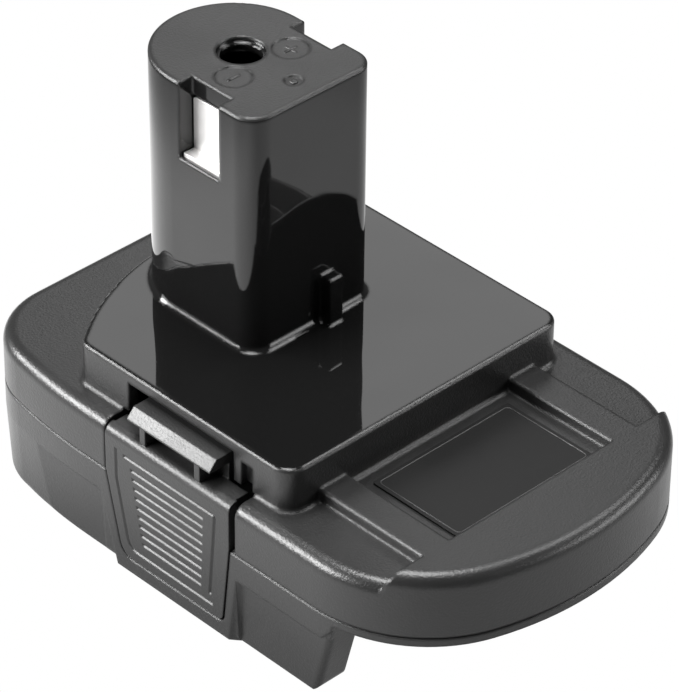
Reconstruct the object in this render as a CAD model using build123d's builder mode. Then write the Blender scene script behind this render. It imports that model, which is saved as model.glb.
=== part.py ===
"""Tool battery adapter: a hollow two-part housing, a plug-in post, sprung buttons and a battery channel.

Frame: +X points to the nose, +Y to the left side, +Z up. The origin is the middle of the box round the part,
on the face that it stands on. All lengths are millimetres.
"""

import math
import os

from build123d import *

os.makedirs("parts", exist_ok=True)

# Plan of the housing
body_length = 125.8
body_width = 79.6
nose_bow_radius = 64.0
nose_corner_radius = 28.0
flank_radius = 120.0
flank_station = 34.9
tail_corner_radius = 16.6

# Levels, each a rise over the one before it
crease_height = 14.8
band_rise = 6.0
wing_rise = 10.7
plateau_rise = 2.5
deck_rise = 9.2
post_rise = 50.5

# Walls, edges and general clearances
wall = 2.4
rim_radius = 2.6
foot_rim_radius = 1.6
seam_width = 0.3
seam_depth = 0.6
overrun = 1.0
running_gap = 0.3
seat_gap = 0.1
skirt_draft_angle = 3.0

# Post, its windows and its top
post_station = 33.1
post_width = 31.0
post_length = 36.8
post_corner_radius = 4.5
post_wall = 2.2
post_rim_radius = 0.7
post_foot_rim = 0.7
post_roof = 2.6
window_width = 10.6
window_start = 17.7
window_depth = 3.4
window_height = 16.0
window_wall = 2.1
window_lintel = 3.8
key_width = 3.2
key_depth = 2.6
key_height = 10.2
key_offset = 3.2
well_radius = 3.95
well_rim_radius = 4.65
well_rim_depth = 1.0
well_setback = 2.0
mark_radius = 3.5
mark_depth = 0.25
mark_spacing = 14.0
mark_setback = 7.5
gate_radius = 1.7
gate_depth = 0.4
gate_setback = 15.7

# Deck round the post
deck_shelf = 4.9
deck_setback = 41.2
deck_bow_radius = 53.5
deck_heel_reach = 16.6
deck_corner_radius = 4.0
deck_heel_radius = 3.0
deck_rim_radius = 0.7
deck_foot_rim = 0.5

# Nose: raised rails, plateau and the label's recess
rail_inset = 14.2
rail_width = 6.8
rail_rim_radius = 0.5
plateau_length = 15.2
plateau_slope_angle = 20.0
label_side_gap = 3.4
label_front_gap = 0.2
label_thickness = 0.4
label_setback = 3.1
label_corner_radius = 0.5
nose_plate = 2.0

# Battery channel, its guides and the skirts round it
skirt_width = 7.8
channel_height = 15.0
tail_wall = 3.3
base_plate = 2.4
guide_depth = 3.4
guide_height = 3.6
guide_level = 3.0
guide_lead = 2.4
guide_setback = 23.0
guide_front = 32.0
skirt_toe = 30.0
skirt_brow = 25.2
skirt_toe_radius = 3.0
skirt_toe_run = 4.0
skirt_end_radius = 1.2
skirt_core_floor = 2.6
skirt_core_width = 2.2
skirt_core_length = 17.0
skirt_core_margin = 2.4
panel_depth = 0.9
panel_foot_depth = 1.3
panel_length = 24.0
tail_panel_length = 25.0
brow_notch_length = 2.5
brow_notch_height = 3.1
brow_notch_depth = 0.9

# Release buttons, measured from the latch's middle, which is a share of the housing's length from the tail
latch_share = 0.46
button_front = 16.4
button_back = 16.7
button_foot_front = 14.5
button_foot_back = 12.5
button_foot_rise = 3.5
button_kink_rise = 21.2
button_proud = 0.1
button_thickness = 2.2
button_back_corner_radius = 3.2
button_front_corner_radius = 1.4
button_rim_radius = 2.0
button_gap = 0.42
button_travel = 4.0
button_drop = 0.55
ledge_thickness = 2.0

# Grip on each button: two bent grooves round nine level ones, all with slanted sides
grip_back = 13.8
grip_front = 12.8
grip_foot_back = 10.6
grip_foot_front = 11.3
grip_drop = 4.5
grip_foot_rise = 5.8
grip_kink_rise = 20.5
grip_overhang = 0.8
grip_break = 1.9
grip_back_bend = 2.6
grip_front_bend = 0.7
grip_groove_width = 0.85
grip_groove_depth = 0.3
grip_groove_slant = 50.0
grip_groove_count = 9
grip_groove_pitch = 1.95
grip_groove_drop = 6.75
grip_groove_inset = 6.65
grip_foot_inset = 5.5
flange_reach = 1.5
flange_thickness = 1.4
flange_height = 6.0
surround_margin = 1.7
surround_slope = 1.1

# Latch hook over each button, and its slot in the deck's wall
hook_back = 11.2
hook_front = 10.9
hook_reach = 4.4
hook_ramp_run = 1.75
hook_ramp_drop = 1.95
hook_rise = 5.45
hook_lip_run = 0.3
hook_stem_thickness = 2.2
hook_rib_width = 1.4
hook_rib_setback = 0.3
hook_rib_shares = (0.17, 0.83)
slot_back = 15.7
slot_front = 12.5
slot_rise = 6.8
slot_post = 1.9
slot_relief_front = 17.4
slot_relief_rise = 5.6
slot_relief_depth = 1.6
notch_front = 18.0

# Return springs
spring_length = 14.0
spring_radius = 2.9
spring_wire_radius = 0.3
spring_turns = 5
spring_level = 4.4
spring_stub = 0.6
spring_bend = 1.2
spring_nub_radius = 2.0
spring_nub_length = 1.6
spring_pad_width = 9.0
spring_seat_thickness = 2.2
spring_seat_rise = 3.6
spring_turn_share = 0.25

# Contact plates and the carrier behind them
contact_thickness = 0.8
contact_margin = 0.25
contact_foot = 2.5
contact_tab_width = 4.0
contact_tab_drop = 9.2
contact_tab_inset = 1.0
contact_headroom = 0.4
carrier_gap = 0.2
carrier_back = 6.2
carrier_front = 1.4
carrier_drop = 6.8
carrier_rise = 5.0
carrier_crown_inset = 2.8
carrier_wall = 1.8
carrier_edge = 0.6

# Terminal block and the blades that meet the battery
block_length = 9.6
block_inset = 9.0
block_height = 11.0
block_ear = 5.0
block_ear_height = 3.0
block_neck_margin = 1.6
blade_thickness = 0.8
blade_height = 6.0
blade_level = 5.5
blade_reach = 11.0
blade_leg = 3.6
blade_slot_gap = 0.05
blade_tip = 0.8
blade_point_share = 0.4
sense_blade_height = 3.6
blade_inset = 5.0
sense_blade_share = 1 / 3

# Circuit board
board_length = 36.0
board_inset = 10.0
board_thickness = 1.6
board_standoff = 2.2
board_corner_radius = 2.0
board_setback = 3.0
board_post_radius = 2.4
board_screw_inset = 4.0
chip_length = 6.6
chip_width = 6.2
chip_height = 2.3
chip_spacing = 12.0
chip_setback = 14.0
chip_edge = 0.3

# Leads from the board to the contact plates
lead_radius = 1.3
lead_bend_share = 0.45
lead_drop = 14.0
lead_rise = 15.0
lead_shift = 4.0
lead_spread = 3.0

# Screws and the bosses that take them
screw_shank_radius = 1.3
screw_length = 7.0
screw_head_radius = 2.6
screw_head_height = 1.9
screw_recess_radius = 1.0
screw_recess_depth = 1.1
screw_hole_gap = 0.05
boss_radius = 3.7
boss_rise = 3.2
boss_seat = 2.5
counterbore_gap = 0.3
tail_screw_setback = 17.2
tail_screw_inset = 12.3
nose_screw_setback = 17.0
nose_screw_inset = 17.8
small_shank_radius = 0.9
small_length = 4.0
small_head_radius = 1.8
small_head_height = 1.3
small_recess_radius = 0.8
small_recess_depth = 0.8
screw_dome_share = 0.55
screw_point_share = 0.35

# Places worked out from the sizes above
nose_x = body_length / 2
tail_x = -body_length / 2
half_width = body_width / 2
deck_width = body_width - deck_shelf * 2
channel_width = body_width - skirt_width * 2
block_width = channel_width - block_inset * 2
board_width = channel_width - board_inset * 2
rail_gap = deck_width - rail_inset * 2
parting_z = crease_height + band_rise
wing_z = parting_z + wing_rise
plateau_z = wing_z + plateau_rise
deck_z = wing_z + deck_rise
post_z = deck_z + post_rise
roof_z = wing_z - wall
post_x = tail_x + post_station
post_radius = post_width / 2
post_back_x = post_x - post_radius
post_front_x = post_back_x + post_length
half_deck = deck_width / 2
deck_front_x = nose_x - deck_setback
deck_back_x = post_x - deck_heel_reach
plateau_x = nose_x - plateau_length
plateau_foot_x = plateau_x - plateau_rise * math.tan(math.radians(plateau_slope_angle))
label_back_x = deck_front_x + label_setback
label_length = plateau_foot_x - label_front_gap - label_back_x
label_width = rail_gap - label_side_gap * 2
latch_x = tail_x + body_length * latch_share
channel_back_x = tail_x + tail_wall
channel_half = channel_width / 2
base_z = channel_height + base_plate
nose_plate_z = parting_z - nose_plate
button_face = half_width + button_proud
button_back_face = button_face - button_thickness
button_top = wing_z - button_drop
ledge_z = button_top - ledge_thickness
pocket_floor = button_back_face - button_travel - running_gap
flange_face = half_width - wall - running_gap
hook_tip = half_deck + hook_reach
hook_top = wing_z + hook_rise
hook_face = half_deck - running_gap
hook_inner_face = hook_face - hook_stem_thickness
spring_z = parting_z + spring_level
spring_seat_face = hook_inner_face - spring_length
window_back_x = post_back_x + window_start
window_face = post_radius - window_depth
window_sill_z = post_z - window_height
window_inner_face = window_face - window_wall
window_top_z = post_z - window_lintel
contact_back_face = window_face - contact_thickness
contact_tab_x = window_back_x + window_width / 2
contact_tab_face = window_inner_face - contact_tab_inset
contact_tab_z = window_sill_z - contact_tab_drop
contact_top_z = window_top_z - contact_headroom
block_back_x = channel_back_x + running_gap
block_foot_z = channel_height - block_height
board_back_x = channel_back_x + board_setback
board_z = base_z + board_standoff
board_top_z = board_z + board_thickness
boss_top_z = parting_z + boss_rise
screw_seat_z = boss_top_z - boss_seat
tail_screws = [(tail_x + tail_screw_setback, side * (half_width - tail_screw_inset)) for side in (-1, 1)]
nose_screws = [(nose_x - nose_screw_setback, side * (half_width - nose_screw_inset)) for side in (-1, 1)]
housing_screw_places = tail_screws + nose_screws
board_screw_x = board_back_x + board_length - board_screw_inset
board_screw_places = [(board_screw_x, side * (board_width / 2 - board_screw_inset)) for side in (-1, 1)]
block_screw_x = block_back_x + block_length / 2
block_screw_places = [(block_screw_x, side * (block_width + block_ear) / 2) for side in (-1, 1)]
power_blade_y = block_width / 2 - blade_inset
sense_blade_y = power_blade_y * sense_blade_share


def housing_outline(inset):
    """The housing's plan moved in by inset: a bowed nose, round corners, bowed flanks and a flat tail.

    Each arc is tangent to the next, so a smaller outline has the same centres and radii less the inset.
    """
    bow_x = nose_x - nose_bow_radius
    corner_y = half_width - nose_corner_radius
    corner_x = bow_x + math.sqrt((nose_bow_radius - nose_corner_radius) ** 2 - corner_y**2)
    bow_angle = math.atan2(corner_y, corner_x - bow_x)
    flank_x = tail_x + flank_station
    flank_y = half_width - flank_radius
    heel_x = tail_x + tail_corner_radius
    heel_y = flank_y + math.sqrt((flank_radius - tail_corner_radius) ** 2 - (heel_x - flank_x) ** 2)
    heel_angle = math.atan2(heel_y - flank_y, heel_x - flank_x)
    bow = nose_bow_radius - inset
    flank = flank_radius - inset
    bow_end = (bow_x + bow * math.cos(bow_angle), bow * math.sin(bow_angle))
    flank_end = (flank_x + flank * math.cos(heel_angle), flank_y + flank * math.sin(heel_angle))
    with BuildSketch() as plan:
        with BuildLine():
            front = TangentArc((nose_x - inset, 0), bow_end, tangent=(0, 1))
            corner = TangentArc(front @ 1, (corner_x, half_width - inset), tangent=front % 1)
            side = Line(corner @ 1, (flank_x, half_width - inset))
            curve = TangentArc(side @ 1, flank_end, tangent=side % 1)
            heel = TangentArc(curve @ 1, (tail_x + inset, heel_y), tangent=curve % 1)
            Line(heel @ 1, (tail_x + inset, 0))
            mirror(about=Plane.XZ)
        make_face()
    return plan.sketch


def deck_outline(inset):
    """The deck's plan moved in by inset: straight sides and front, and one wide arc behind the post."""
    half = half_deck - inset
    front_x = deck_front_x - inset
    bow = deck_bow_radius - inset
    heel_x = deck_back_x + deck_bow_radius - math.sqrt(bow**2 - half**2)
    with BuildSketch() as plan:
        with BuildLine():
            Polyline((heel_x, -half), (front_x, -half), (front_x, half), (heel_x, half))
            ThreePointArc((heel_x, half), (deck_back_x + inset, 0), (heel_x, -half))
        make_face()
        fillet(plan.vertices().group_by(Axis.X)[-1], deck_corner_radius - inset)
        fillet(plan.vertices().group_by(Axis.X)[0], deck_heel_radius - inset)
    return plan.sketch


def post_outline(inset):
    """The post's D-shaped plan moved in by inset, round towards the tail and flat towards the nose."""
    half = post_radius - inset
    front_x = post_front_x - inset
    with BuildSketch() as plan:
        with BuildLine():
            Polyline((post_x, half), (front_x, half), (front_x, -half), (post_x, -half))
            ThreePointArc((post_x, -half), (post_x - half, 0), (post_x, half))
        make_face()
        fillet(plan.vertices().group_by(Axis.X)[-1], post_corner_radius - inset)
    return plan.sketch


def block(x_range, y_range, z_range):
    """A plain block between two limits on each axis, kept apart until it is added to a part."""
    sizes = [high - low for low, high in (x_range, y_range, z_range)]
    middle = [(low + high) / 2 for low, high in (x_range, y_range, z_range)]
    return Pos(*middle) * Box(*sizes, mode=Mode.PRIVATE)


def on_both_sides(solid):
    """The solid and its mirror image across the middle plane."""
    return [solid, mirror(solid, about=Plane.XZ, mode=Mode.PRIVATE)]


def button_outline(margin):
    """A release button's face moved in by margin, drawn in X and Z: straight above, drawn in below."""
    back = latch_x - button_back + margin
    front = latch_x + button_front - margin
    foot_back = latch_x - button_foot_back + margin
    foot_front = latch_x + button_foot_front - margin
    foot_z = button_foot_rise + margin
    top_z = button_top - margin
    with BuildSketch() as face:
        with BuildLine():
            Polyline(
                (foot_back, foot_z),
                (foot_front, foot_z),
                (front, button_kink_rise),
                (front, top_z),
                (back, top_z),
                (back, button_kink_rise),
                close=True,
            )
        make_face()
        foot_corners = face.vertices().group_by(Axis.Y)[0].sort_by(Axis.X)
        fillet(foot_corners[0], button_back_corner_radius - margin)
        front_corner = face.vertices().group_by(Axis.Y)[0].sort_by(Axis.X)[-1]
        fillet(front_corner, button_front_corner_radius - margin)
    return face.sketch


# Upper housing: the low form of the wings and the high form of the nose
with BuildPart() as wing_form:
    with BuildSketch(Plane.XY.offset(parting_z)):
        add(housing_outline(0))
    extrude(amount=wing_z - parting_z)
    fillet(wing_form.faces().sort_by(Axis.Z)[-1].edges(), rim_radius)

with BuildPart() as nose_form:
    with BuildSketch(Plane.XY.offset(parting_z)):
        add(housing_outline(0))
    extrude(amount=plateau_z - parting_z)
    fillet(nose_form.faces().sort_by(Axis.Z)[-1].edges(), rim_radius)
    slope_run = (plateau_z - parting_z) * math.tan(math.radians(plateau_slope_angle))
    with BuildSketch(Plane.XZ.offset(-body_width)):
        with BuildLine():
            Polyline(
                (plateau_x, plateau_z + overrun),
                (plateau_x, plateau_z),
                (plateau_x - slope_run, parting_z - overrun),
                (tail_x - overrun, parting_z - overrun),
                (tail_x - overrun, plateau_z + overrun),
                close=True,
            )
        make_face()
    extrude(amount=body_width * 2, mode=Mode.SUBTRACT)

# Deck and post, filleted before they join the wings
with BuildPart() as deck_form:
    with BuildSketch(Plane.XY.offset(wing_z - overrun)):
        add(deck_outline(0))
    extrude(amount=deck_rise + overrun)
    fillet(deck_form.faces().sort_by(Axis.Z)[-1].edges(), deck_rim_radius)
    with BuildSketch(Plane.XY.offset(wing_z)):
        add(deck_outline(-deck_foot_rim))
    with BuildSketch(Plane.XY.offset(wing_z + deck_foot_rim)):
        add(deck_outline(0))
    loft(ruled=True)

with BuildPart() as post_form:
    with BuildSketch(Plane.XY.offset(deck_z - overrun)):
        add(post_outline(0))
    extrude(amount=post_rise + overrun)
    fillet(post_form.faces().sort_by(Axis.Z)[-1].edges(), post_rim_radius)
    with BuildSketch(Plane.XY.offset(deck_z)):
        add(post_outline(-post_foot_rim))
    with BuildSketch(Plane.XY.offset(deck_z + post_foot_rim)):
        add(post_outline(0))
    loft(ruled=True)

with BuildPart() as rail_form:
    rail_y = rail_gap / 2
    rail_back_x = deck_front_x - overrun
    rail_length = plateau_x + overrun - rail_back_x
    rail_middle = (rail_back_x + rail_length / 2, rail_y + rail_width / 2, (wing_z + plateau_z - overrun) / 2)
    with Locations(rail_middle):
        Box(rail_length, rail_width, plateau_rise + overrun)
    fillet(rail_form.faces().sort_by(Axis.Z)[-1].edges().filter_by(Axis.X), rail_rim_radius)
    mirror(about=Plane.XZ)

# Hollow of the post: the walls of the two windows stay in it
with BuildPart() as post_hollow:
    with BuildSketch(Plane.XY.offset(deck_z - wall - overrun)):
        add(post_outline(post_wall))
    extrude(amount=post_z - post_roof - deck_z + wall + overrun)
    for solid in on_both_sides(
        block(
            (window_back_x - window_wall, window_back_x + window_width + window_wall),
            (window_inner_face, post_width),
            (window_sill_z - window_wall, post_z + overrun),
        )
    ):
        add(solid, mode=Mode.SUBTRACT)

with BuildPart() as upper_housing:
    add(wing_form.part)
    add(nose_form.part)
    add(rail_form.part)
    add(deck_form.part)
    add(post_form.part)
    # key on the post's flat front
    add(
        block(
            (post_front_x - overrun, post_front_x + key_depth),
            (key_offset - key_width / 2, key_offset + key_width / 2),
            (deck_z - overrun, deck_z + key_height),
        )
    )
    # hollow of the wings, the nose and the deck
    with BuildSketch(Plane.XY.offset(parting_z)):
        add(housing_outline(wall))
    extrude(amount=roof_z - parting_z, mode=Mode.SUBTRACT)
    with BuildSketch(Plane.XY.offset(roof_z - overrun)):
        add(deck_outline(wall))
    extrude(amount=deck_z - wall - roof_z + overrun, mode=Mode.SUBTRACT)
    add(post_hollow.part, mode=Mode.SUBTRACT)
    # bosses that take the housing's screws
    with BuildSketch(Plane.XY.offset(boss_top_z)):
        with Locations(*housing_screw_places):
            Circle(boss_radius)
    extrude(amount=roof_z - boss_top_z + overrun)
    with BuildSketch(Plane.XY.offset(boss_top_z)):
        with Locations(*housing_screw_places):
            Circle(screw_shank_radius + screw_hole_gap)
    extrude(amount=screw_length - boss_seat + overrun, mode=Mode.SUBTRACT)
    # windows of the two contacts, each with an opening in its back wall
    for solid in on_both_sides(
        block(
            (window_back_x, window_back_x + window_width),
            (window_face, post_width),
            (window_sill_z, post_z + overrun),
        )
    ):
        add(solid, mode=Mode.SUBTRACT)
    for solid in on_both_sides(
        block(
            (window_back_x, window_back_x + window_width),
            (window_inner_face - overrun, window_face + overrun),
            (window_sill_z, window_top_z),
        )
    ):
        add(solid, mode=Mode.SUBTRACT)
    # well, polarity discs and gate mark in the post's top
    with Locations((post_x + well_setback, 0, post_z)):
        CounterBoreHole(
            radius=well_radius,
            counter_bore_radius=well_rim_radius,
            counter_bore_depth=well_rim_depth,
            depth=post_roof + overrun,
        )
    with BuildSketch(Plane.XY.offset(post_z)):
        with Locations(*[(post_x + mark_setback, side * mark_spacing / 2) for side in (-1, 1)]):
            Circle(mark_radius)
    extrude(amount=-mark_depth, mode=Mode.SUBTRACT)
    with BuildSketch(Plane.XY.offset(post_z)):
        with Locations((post_x + gate_setback, 0)):
            Circle(gate_radius)
    extrude(amount=-gate_depth, mode=Mode.SUBTRACT)
    # notch for each button, slot for its hook and the relief beside the slot
    notch_x = (latch_x - button_back - button_gap, latch_x + notch_front)
    slot_x = (latch_x - slot_back, latch_x + slot_front)
    relief_x = (latch_x + slot_front + slot_post, latch_x + slot_relief_front)
    notch_inner = half_deck - wall - seat_gap
    foot_rim_z = wing_z + deck_foot_rim
    for solid in (
        on_both_sides(block(notch_x, (notch_inner, body_width), (parting_z - overrun, foot_rim_z)))
        + on_both_sides(block(notch_x, (half_deck, body_width), (parting_z - overrun, plateau_z)))
        + on_both_sides(block(slot_x, (notch_inner, body_width), (wing_z - overrun, wing_z + slot_rise)))
        + on_both_sides(
            block(relief_x, (half_deck - slot_relief_depth, body_width), (wing_z, wing_z + slot_relief_rise))
        )
    ):
        add(solid, mode=Mode.SUBTRACT)
upper_housing.part.label = "upper_housing"
export_step(upper_housing.part, "parts/upper_housing.step")

# Lower housing: a straight band under the parting line, and drafted skirts below its crease
surround_back_x = latch_x - button_back - surround_margin
surround_front_x = latch_x + button_front + surround_margin
skirt_toe_x = nose_x - skirt_toe
skirt_brow_x = nose_x - skirt_brow
step_x = skirt_brow_x - wall
side_core_y = channel_half + skirt_core_margin

with BuildPart() as skirt_form:
    with BuildSketch(Plane.XY.offset(crease_height)):
        add(housing_outline(0))
    extrude(amount=crease_height, dir=(0, 0, -1), taper=skirt_draft_angle)
    fillet(skirt_form.faces().sort_by(Axis.Z)[0].edges(), foot_rim_radius)
    with BuildSketch(Plane.XY.offset(crease_height)):
        add(housing_outline(0))
    extrude(amount=band_rise)

# Shallow drafted panels in the flanks, before and behind each button
with BuildPart() as panel_form:
    for panel_x, length in (
        (surround_back_x - tail_panel_length, tail_panel_length),
        (surround_front_x, panel_length),
    ):
        with BuildSketch(Plane.YZ.offset(panel_x)):
            with BuildLine():
                Polyline(
                    (half_width - panel_depth, crease_height),
                    (half_width - panel_foot_depth, 0),
                    (half_width - panel_foot_depth, -overrun),
                    (half_width + overrun, -overrun),
                    (half_width + overrun, crease_height),
                    close=True,
                )
            make_face()
        extrude(amount=length)
    with BuildSketch(Plane.XZ.offset(-half_width - overrun)):
        with BuildLine():
            Polyline(
                (skirt_brow_x - brow_notch_length, crease_height),
                (skirt_brow_x, crease_height),
                (skirt_brow_x, crease_height + brow_notch_height),
                close=True,
            )
        make_face()
    extrude(amount=brow_notch_depth + overrun)
    mirror(about=Plane.XZ)


def surround_ring(spread):
    """A four-sided frame round the button's lower part, spread wider by the given amount."""
    outset = surround_margin + spread
    return [
        (latch_x - button_foot_back - outset, 0),
        (latch_x + button_foot_front + outset, 0),
        (latch_x + button_front + outset, crease_height),
        (latch_x - button_back - outset, crease_height),
    ]


# Raised ground round the button's lower part, sloping back to the panels
with BuildPart() as surround_form:
    root_depth = panel_foot_depth + wall
    with BuildSketch(Plane.XZ.offset(half_width - root_depth)):
        with BuildLine():
            Polyline(*surround_ring(surround_slope * root_depth / panel_depth), close=True)
        make_face()
    with BuildSketch(Plane.XZ.offset(half_width)):
        with BuildLine():
            Polyline(*surround_ring(0), close=True)
        make_face()
    loft(ruled=True)

# Space under the nose, which leaves the skirts' leaning front ends and their round toes
with BuildPart() as nose_space:
    with BuildSketch(Plane.XZ.offset(-body_width)) as nose_side:
        with BuildLine():
            Polyline(
                (skirt_toe_x - skirt_toe_run, -overrun),
                (skirt_toe_x - skirt_toe_run, 0),
                (skirt_toe_x, 0),
                (skirt_brow_x, nose_plate_z),
                (nose_x + overrun, nose_plate_z),
                (nose_x + overrun, -overrun),
                close=True,
            )
        make_face()
        toe = nose_side.vertices().group_by(Axis.Y)[1].sort_by(Axis.X)[-1]
        fillet(toe, skirt_toe_radius)
    extrude(amount=body_width * 2)


def end_corner(height):
    """The corner that a skirt's front end lacks at one height, in plan: what lies outside an arc there."""
    lean = (skirt_brow_x - skirt_toe_x) / nose_plate_z
    end_x = skirt_toe_x + lean * height
    face_y = half_width - panel_foot_depth + (panel_foot_depth - panel_depth) * height / crease_height
    arc_x = end_x - skirt_end_radius
    arc_y = face_y - skirt_end_radius
    shoulder = skirt_end_radius * math.sin(math.radians(45))
    with BuildSketch() as corner:
        with BuildLine():
            Polyline(
                (arc_x, face_y),
                (arc_x, face_y + overrun),
                (end_x + overrun, face_y + overrun),
                (end_x + overrun, arc_y),
                (end_x, arc_y),
            )
            ThreePointArc((end_x, arc_y), (arc_x + shoulder, arc_y + shoulder), (arc_x, face_y))
        make_face()
    return corner.sketch


# Rounding of the long outer edge of a skirt's leaning front end
with BuildPart() as end_round:
    for height in (-overrun, crease_height):
        with BuildSketch(Plane.XY.offset(height)):
            add(end_corner(height))
    loft(ruled=True)

# Channel for the battery: open at the floor and the front, round in plan at the tail
with BuildPart() as channel_space:
    with BuildSketch(Plane.XY.offset(-overrun)):
        add(housing_outline(tail_wall))
        with Locations(((channel_back_x + nose_x) / 2, 0)):
            Rectangle(nose_x - channel_back_x, channel_width, mode=Mode.INTERSECT)
    extrude(amount=channel_height + overrun)

# Guide rails on the channel's sides, with a slanted lead-in at the front
with BuildPart() as guide_form:
    with BuildSketch(Plane.XY.offset(guide_level)):
        with BuildLine():
            Polyline(
                (tail_x + guide_setback, channel_half + overrun),
                (nose_x - guide_front, channel_half + overrun),
                (nose_x - guide_front, channel_half),
                (nose_x - guide_front - guide_lead, channel_half - guide_depth),
                (tail_x + guide_setback, channel_half - guide_depth),
                close=True,
            )
        make_face()
    extrude(amount=guide_height)
    mirror(about=Plane.XZ)

# Hollow over the base plate, up to the step under the nose
with BuildPart() as base_hollow:
    with BuildSketch(Plane.XY.offset(base_z)):
        add(housing_outline(wall))
        with Locations(((step_x + nose_x) / 2, 0)):
            Rectangle(nose_x - step_x, body_width, mode=Mode.SUBTRACT)
    extrude(amount=parting_z - base_z)
    with BuildSketch(Plane.XY.offset(skirt_core_floor)):
        core_front_x = surround_back_x - skirt_core_length / 2
        with Locations((core_front_x, side_core_y + skirt_core_width / 2)):
            Rectangle(skirt_core_length, skirt_core_width)
        core_front_x = surround_front_x + skirt_core_length / 2
        with Locations((core_front_x, side_core_y + skirt_core_width / 2)):
            Rectangle(skirt_core_length, skirt_core_width)
    extrude(amount=base_z - skirt_core_floor + overrun)
    mirror(about=Plane.XZ)

# Pocket that each button slides in, wider than the button by its gap
with BuildPart() as button_pocket:
    with BuildSketch(Plane.XZ.offset(pocket_floor)):
        add(button_outline(-button_gap))
    extrude(amount=body_width - pocket_floor)
    mirror(about=Plane.XZ)

neck_length = block_length - block_neck_margin * 2
neck_width = block_width - block_neck_margin * 2

with BuildPart() as lower_housing:
    add(skirt_form.part)
    add(panel_form.part, mode=Mode.SUBTRACT)
    for solid in on_both_sides(surround_form.part):
        add(solid)
    add(nose_space.part, mode=Mode.SUBTRACT)
    for solid in on_both_sides(end_round.part):
        add(solid, mode=Mode.SUBTRACT)
    add(channel_space.part, mode=Mode.SUBTRACT)
    add(guide_form.part)
    add(base_hollow.part, mode=Mode.SUBTRACT)
    # fine groove round the parting line
    with BuildSketch(Plane.XY.offset(parting_z - seam_width)):
        add(housing_outline(-overrun))
        add(housing_outline(seam_depth), mode=Mode.SUBTRACT)
    extrude(amount=seam_width + overrun, mode=Mode.SUBTRACT)
    # bosses and seats for the housing's screws, open to a driver from below
    with BuildSketch(Plane.XY.offset(base_z - seat_gap)):
        with Locations(*tail_screws):
            Circle(boss_radius)
    extrude(amount=boss_top_z - base_z + seat_gap)
    with BuildSketch(Plane.XY.offset(parting_z - seat_gap)):
        with Locations(*nose_screws):
            Circle(boss_radius)
    extrude(amount=boss_top_z - parting_z + seat_gap)
    with BuildSketch(Plane.XY.offset(channel_height - overrun)):
        with Locations(*housing_screw_places):
            Circle(screw_head_radius + counterbore_gap)
    extrude(amount=screw_seat_z - channel_height + overrun, mode=Mode.SUBTRACT)
    with BuildSketch(Plane.XY.offset(screw_seat_z - overrun)):
        with Locations(*housing_screw_places):
            Circle(screw_shank_radius + seat_gap)
    extrude(amount=boss_seat + overrun * 2, mode=Mode.SUBTRACT)
    # board posts, the terminal block's bosses and its neck's opening
    with BuildSketch(Plane.XY.offset(base_z - seat_gap)):
        with Locations(*board_screw_places):
            Circle(board_post_radius)
    extrude(amount=board_standoff + seat_gap)
    with BuildSketch(Plane.XY.offset(base_z - seat_gap)):
        with Locations(*block_screw_places):
            Circle(board_post_radius)
    extrude(amount=board_standoff + seat_gap)
    with BuildSketch(Plane.XY.offset(channel_height - overrun)):
        with Locations(*block_screw_places):
            Circle(small_shank_radius + screw_hole_gap)
    extrude(amount=small_length - block_ear_height + overrun * 2, mode=Mode.SUBTRACT)
    with BuildSketch(Plane.XY.offset(board_z)):
        with Locations(*board_screw_places):
            Circle(small_shank_radius + screw_hole_gap)
    extrude(amount=board_thickness - small_length, mode=Mode.SUBTRACT)
    with BuildSketch(Plane.XY.offset(channel_height - overrun)):
        with Locations((block_screw_x, 0)):
            Rectangle(neck_length + running_gap, neck_width + running_gap)
    extrude(amount=base_plate + overrun * 2, mode=Mode.SUBTRACT)
    # walls that the return springs press on, each with a nub inside its spring
    seat_back_face = spring_seat_face - spring_seat_thickness
    for solid in on_both_sides(
        block(
            (latch_x - spring_pad_width / 2, latch_x + spring_pad_width / 2),
            (seat_back_face, spring_seat_face),
            (base_z - seat_gap, spring_z + spring_seat_rise),
        )
    ):
        add(solid)
    with BuildSketch(Plane.XZ.offset(seat_back_face)):
        with Locations((latch_x, spring_z)):
            Circle(spring_nub_radius)
    extrude(amount=spring_seat_thickness + spring_nub_length)
    with BuildSketch(Plane.XZ.offset(-seat_back_face)):
        with Locations((latch_x, spring_z)):
            Circle(spring_nub_radius)
    extrude(amount=-spring_seat_thickness - spring_nub_length)
    add(button_pocket.part, mode=Mode.SUBTRACT)
lower_housing.part.label = "lower_housing"
export_step(lower_housing.part, "parts/lower_housing.step")


# Release button with its grip, ledge, stem and latch hook
def grip_bends():
    """Two bent grooves in X and Z: one down the back and along the foot, one over the top and down the front.

    They leave a break between them at the top's back corner and at the foot's front corner.
    """
    top_z = button_top - grip_drop
    back_x = latch_x - grip_back
    front_x = latch_x + grip_front
    foot_back_x = latch_x - grip_foot_back
    foot_front_x = latch_x + grip_foot_front
    with BuildSketch() as bends:
        with BuildLine() as back_bend:
            FilletPolyline(
                (back_x, top_z + grip_overhang),
                (back_x, grip_kink_rise),
                (foot_back_x, grip_foot_rise),
                (foot_front_x + grip_overhang, grip_foot_rise),
                radius=(grip_back_bend, grip_back_bend),
            )
        trace(back_bend.line, line_width=grip_groove_width)
    with BuildSketch() as front_bends:
        with BuildLine() as front_bend:
            FilletPolyline(
                (back_x + grip_break, top_z),
                (front_x, top_z),
                (foot_front_x, grip_foot_rise + grip_break),
                radius=grip_front_bend,
            )
        trace(front_bend.line, line_width=grip_groove_width)
    return [bends.sketch, front_bends.sketch]


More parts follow.
